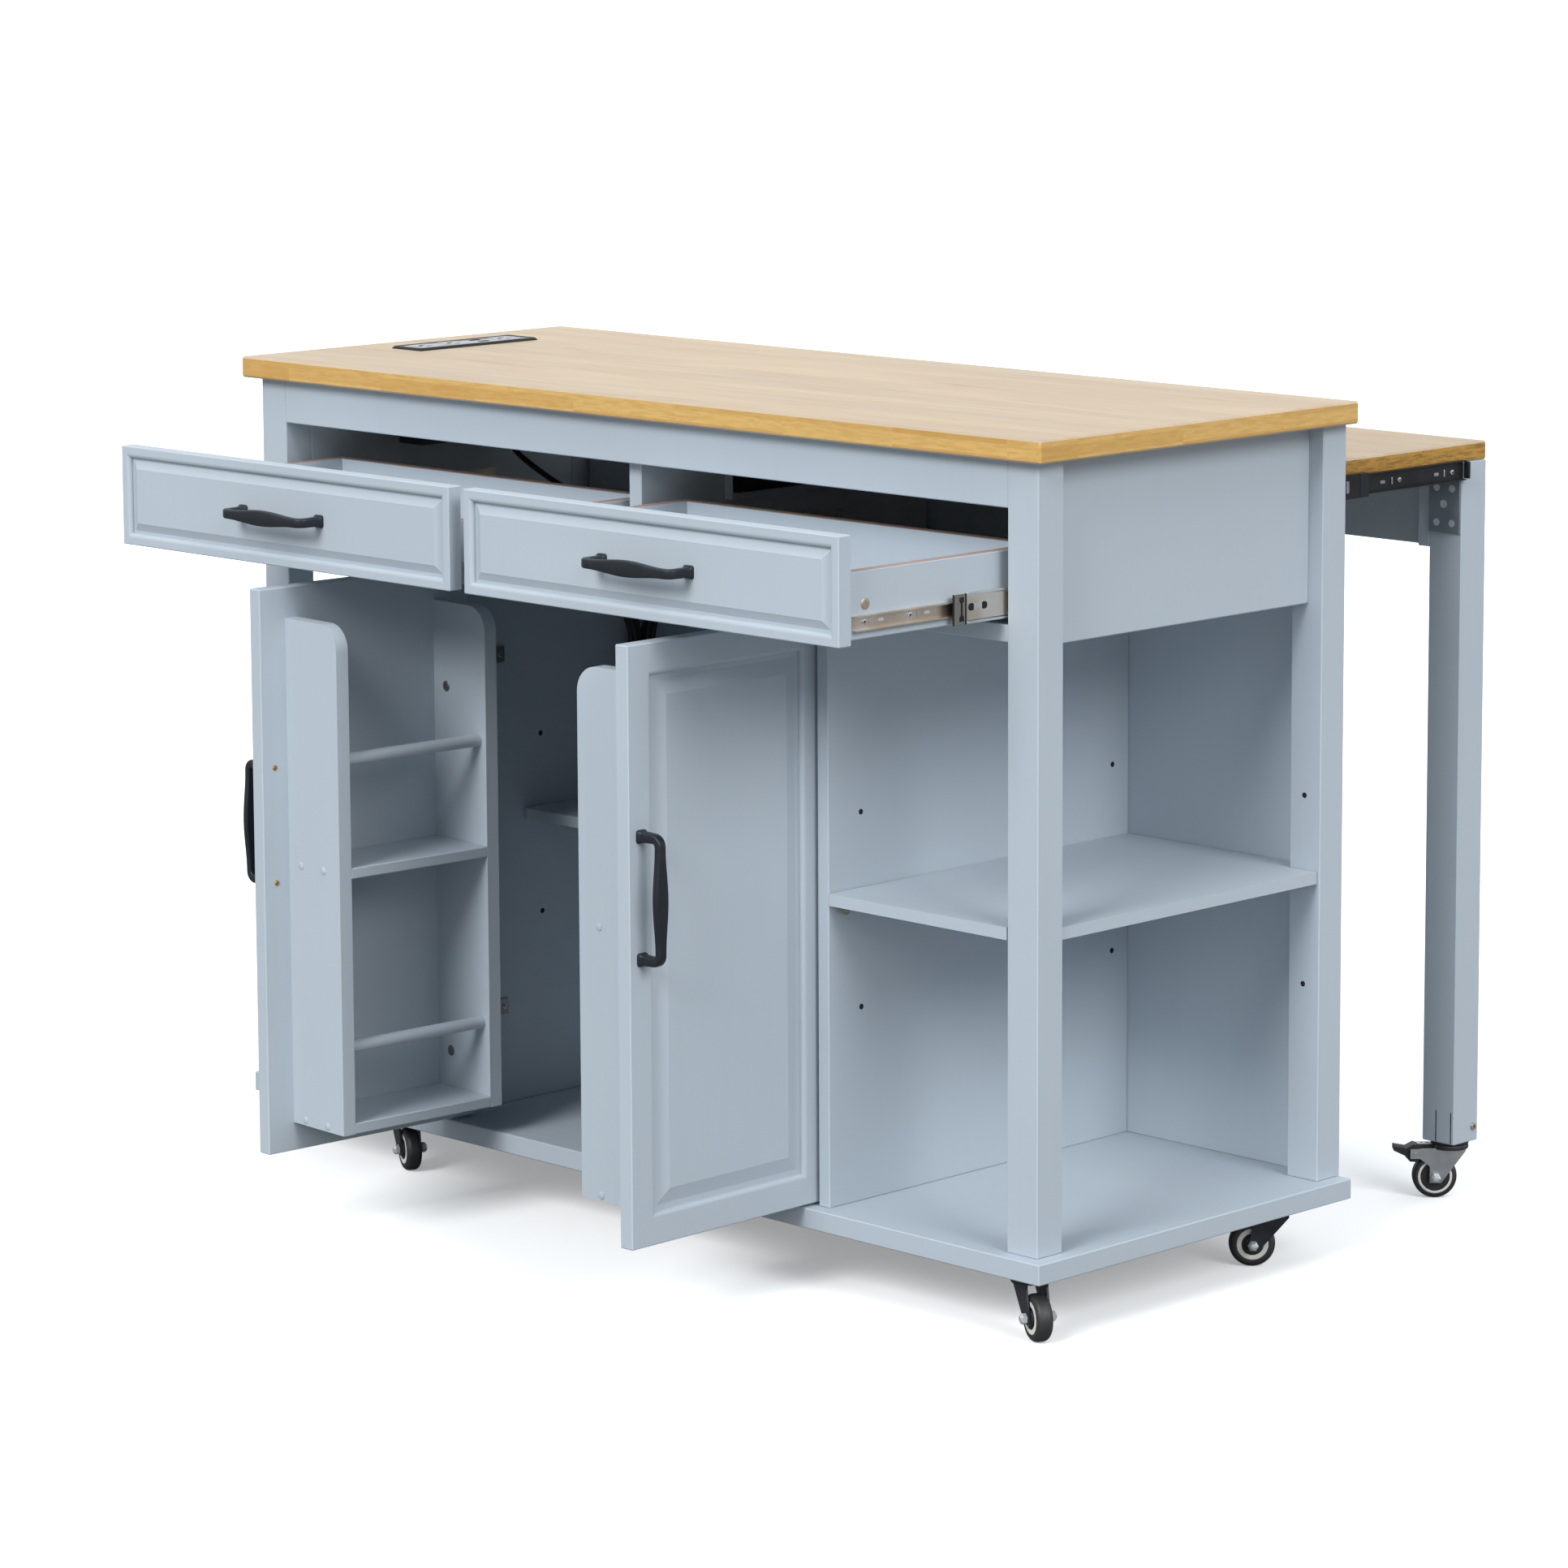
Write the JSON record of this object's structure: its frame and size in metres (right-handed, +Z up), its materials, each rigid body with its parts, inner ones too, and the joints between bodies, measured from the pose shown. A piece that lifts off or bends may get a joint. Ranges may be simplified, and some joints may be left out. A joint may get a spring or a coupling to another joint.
{
  "type": "kitchen island",
  "caption": "Kitchen island on swivel casters with drawers, hinged doors carrying racks, open end shelves, a set-in power unit and a pull-out leaf on its own castered legs.",
  "frame": {"origin": "middle of the object's footprint at floor level", "axes": "+X along the worktop to the leaf's end, +Y to the back where the leaf pulls out, +Z up from the floor"},
  "size_m": [1.25, 1.068, 0.938],
  "materials": {
    "worktop_wood": "satin",
    "leaf_wood": "satin",
    "paint": "satin",
    "drawer_wood": "satin",
    "handle_bronze": "satin",
    "slide_zinc": "zinc plated",
    "slide_black": "semi gloss",
    "hinge_nickel": "nickel plated",
    "pin_steel": "nickel plated",
    "bracket_black": "satin",
    "unit_plastic": "satin",
    "unit_body": "satin",
    "cord_jacket": "satin",
    "tie_strap": "matte",
    "plug_plastic": "satin",
    "caster_plate_black": "semi gloss",
    "caster_fork_black": "semi gloss",
    "caster_wheel": "matte",
    "caster_zinc": "zinc plated",
    "pedal_black": "satin"
  },
  "bodies": {
    "carcass": {"worktop": "worktop_wood", "base_board": "paint", "posts": "paint", "top_rails": "paint", "drawer_floor": "paint", "side_aprons": "paint", "partitions": "paint", "back_panel": "paint", "drawer_divider": "paint", "shelves": "paint", "shelf_pins": "pin_steel", "drawer_slide_outers": "slide_zinc", "leaf_slide_outers": "slide_black", "hinge_plates": "hinge_nickel", "power_faceplate": "unit_plastic", "power_body": "unit_body", "power_cord": "cord_jacket", "power_cord_hank": "cord_jacket", "cord_tie": "tie_strap", "power_plug": "plug_plastic", "caster_plates": "caster_plate_black"},
    "leaf": {"leaf_board": "leaf_wood", "leaf_legs": "paint", "leaf_rails": "paint", "leaf_brackets": "bracket_black", "leaf_slide_inners": "slide_black", "leaf_caster_stems": "caster_zinc"},
    "leaf_carriage": {"leaf_slide_middles": "slide_black"},
    "drawer_right": {"drawer_front_right": "paint", "drawer_box_right": "drawer_wood", "drawer_handle_right": "handle_bronze", "drawer_slide_inners_right": "slide_zinc"},
    "drawer_carriage_right": {"drawer_slide_middles_right": "slide_zinc"},
    "drawer_left": {"drawer_front_left": "paint", "drawer_box_left": "drawer_wood", "drawer_handle_left": "handle_bronze", "drawer_slide_inners_left": "slide_zinc"},
    "drawer_carriage_left": {"drawer_slide_middles_left": "slide_zinc"},
    "door_right": {"door_panel_right": "paint", "door_rack_right": "drawer_wood", "door_hinge_cups_right": "hinge_nickel", "door_handle_right": "handle_bronze"},
    "door_left": {"door_panel_left": "paint", "door_rack_left": "drawer_wood", "door_hinge_cups_left": "hinge_nickel", "door_handle_left": "handle_bronze"},
    "caster_front_right": {"caster_fork_front_right": "caster_fork_black"},
    "wheel_front_right": {"caster_wheel_front_right": "caster_wheel"},
    "caster_front_left": {"caster_fork_front_left": "caster_fork_black"},
    "wheel_front_left": {"caster_wheel_front_left": "caster_wheel"},
    "caster_back_right": {"caster_fork_back_right": "caster_fork_black"},
    "wheel_back_right": {"caster_wheel_back_right": "caster_wheel"},
    "caster_back_left": {"caster_fork_back_left": "caster_fork_black"},
    "wheel_back_left": {"caster_wheel_back_left": "caster_wheel"},
    "leaf_caster_right": {"leaf_caster_fork_right": "caster_zinc"},
    "leaf_wheel_right": {"leaf_caster_wheel_right": "caster_wheel"},
    "leaf_pedal_right": {"leaf_caster_pedal_right": "pedal_black"},
    "leaf_caster_left": {"leaf_caster_fork_left": "caster_zinc"},
    "leaf_wheel_left": {"leaf_caster_wheel_left": "caster_wheel"},
    "leaf_pedal_left": {"leaf_caster_pedal_left": "pedal_black"}
  },
  "joints": [
    {"name": "leaf_slide", "type": "slide", "parent": "carcass", "child": "leaf", "axis": [0, 1, 0], "range_m": [-0.265, 0.03]},
    {"name": "leaf_carriage_slide", "type": "slide", "parent": "carcass", "child": "leaf_carriage", "axis": [0, 1, 0], "range_m": [-0.1325, 0.015]},
    {"name": "drawer_slide_right", "type": "slide", "parent": "carcass", "child": "drawer_right", "axis": [0, -1, 0], "range_m": [-0.241, 0.06]},
    {"name": "drawer_carriage_slide_right", "type": "slide", "parent": "carcass", "child": "drawer_carriage_right", "axis": [0, -1, 0], "range_m": [-0.1205, 0.03]},
    {"name": "drawer_slide_left", "type": "slide", "parent": "carcass", "child": "drawer_left", "axis": [0, -1, 0], "range_m": [-0.241, 0.06]},
    {"name": "drawer_carriage_slide_left", "type": "slide", "parent": "carcass", "child": "drawer_carriage_left", "axis": [0, -1, 0], "range_m": [-0.1205, 0.03]},
    {"name": "door_hinge_right", "type": "hinge", "parent": "carcass", "child": "door_right", "pos_m": [0.2815, -0.253, 0.4], "axis": [0, 0, 1], "range_deg": [-90.9, 13.1]},
    {"name": "door_hinge_left", "type": "hinge", "parent": "carcass", "child": "door_left", "pos_m": [-0.2815, -0.253, 0.4], "axis": [0, 0, -1], "range_deg": [-93.5, 10.5]},
    {"name": "caster_swivel_front_right", "type": "hinge", "parent": "carcass", "child": "caster_front_right", "pos_m": [0.578, -0.239, 0.06], "axis": [0, 0, 1], "continuous": true},
    {"name": "wheel_spin_front_right", "type": "hinge", "parent": "caster_front_right", "child": "wheel_front_right", "pos_m": [0.59784, -0.24851, 0.025], "axis": [0.4321, 0.9018, 0], "continuous": true},
    {"name": "caster_swivel_front_left", "type": "hinge", "parent": "carcass", "child": "caster_front_left", "pos_m": [-0.429, -0.215, 0.06], "axis": [0, 0, 1], "continuous": true},
    {"name": "wheel_spin_front_left", "type": "hinge", "parent": "caster_front_left", "child": "wheel_front_left", "pos_m": [-0.40916, -0.22451, 0.025], "axis": [0.4321, 0.9018, 0], "continuous": true},
    {"name": "caster_swivel_back_right", "type": "hinge", "parent": "carcass", "child": "caster_back_right", "pos_m": [0.578, 0.147, 0.06], "axis": [0, 0, 1], "continuous": true},
    {"name": "wheel_spin_back_right", "type": "hinge", "parent": "caster_back_right", "child": "wheel_back_right", "pos_m": [0.5625, 0.13139, 0.025], "axis": [0.7096, -0.7046, 0], "continuous": true},
    {"name": "caster_swivel_back_left", "type": "hinge", "parent": "carcass", "child": "caster_back_left", "pos_m": [-0.429, 0.147, 0.06], "axis": [0, 0, 1], "continuous": true},
    {"name": "wheel_spin_back_left", "type": "hinge", "parent": "caster_back_left", "child": "wheel_back_left", "pos_m": [-0.4445, 0.13139, 0.025], "axis": [0.7096, -0.7046, 0], "continuous": true},
    {"name": "leaf_caster_swivel_right", "type": "hinge", "parent": "leaf", "child": "leaf_caster_right", "pos_m": [0.5308, 0.5125, 0.06], "axis": [0, 0, 1], "continuous": true},
    {"name": "leaf_wheel_spin_right", "type": "hinge", "parent": "leaf_caster_right", "child": "leaf_wheel_right", "pos_m": [0.51882, 0.50044, 0.025], "axis": [0.7096, -0.7046, 0], "continuous": true},
    {"name": "leaf_pedal_tilt_right", "type": "hinge", "parent": "leaf_caster_right", "child": "leaf_pedal_right", "pos_m": [0.50261, 0.48412, 0.052], "axis": [0.7096, -0.7046, 0], "range_deg": [0, 12]},
    {"name": "leaf_caster_swivel_left", "type": "hinge", "parent": "leaf", "child": "leaf_caster_left", "pos_m": [0.0567, 0.5125, 0.06], "axis": [0, 0, 1], "continuous": true},
    {"name": "leaf_wheel_spin_left", "type": "hinge", "parent": "leaf_caster_left", "child": "leaf_wheel_left", "pos_m": [0.04472, 0.50044, 0.025], "axis": [0.7096, -0.7046, 0], "continuous": true},
    {"name": "leaf_pedal_tilt_left", "type": "hinge", "parent": "leaf_caster_left", "child": "leaf_pedal_left", "pos_m": [0.02851, 0.48412, 0.052], "axis": [0.7096, -0.7046, 0], "range_deg": [0, 12]}
  ],
  "couplings": [
    {"joint": "leaf_carriage_slide", "follows": "leaf_slide", "ratio": 0.5},
    {"joint": "drawer_carriage_slide_right", "follows": "drawer_slide_right", "ratio": 0.5},
    {"joint": "drawer_carriage_slide_left", "follows": "drawer_slide_left", "ratio": 0.5}
  ]
}
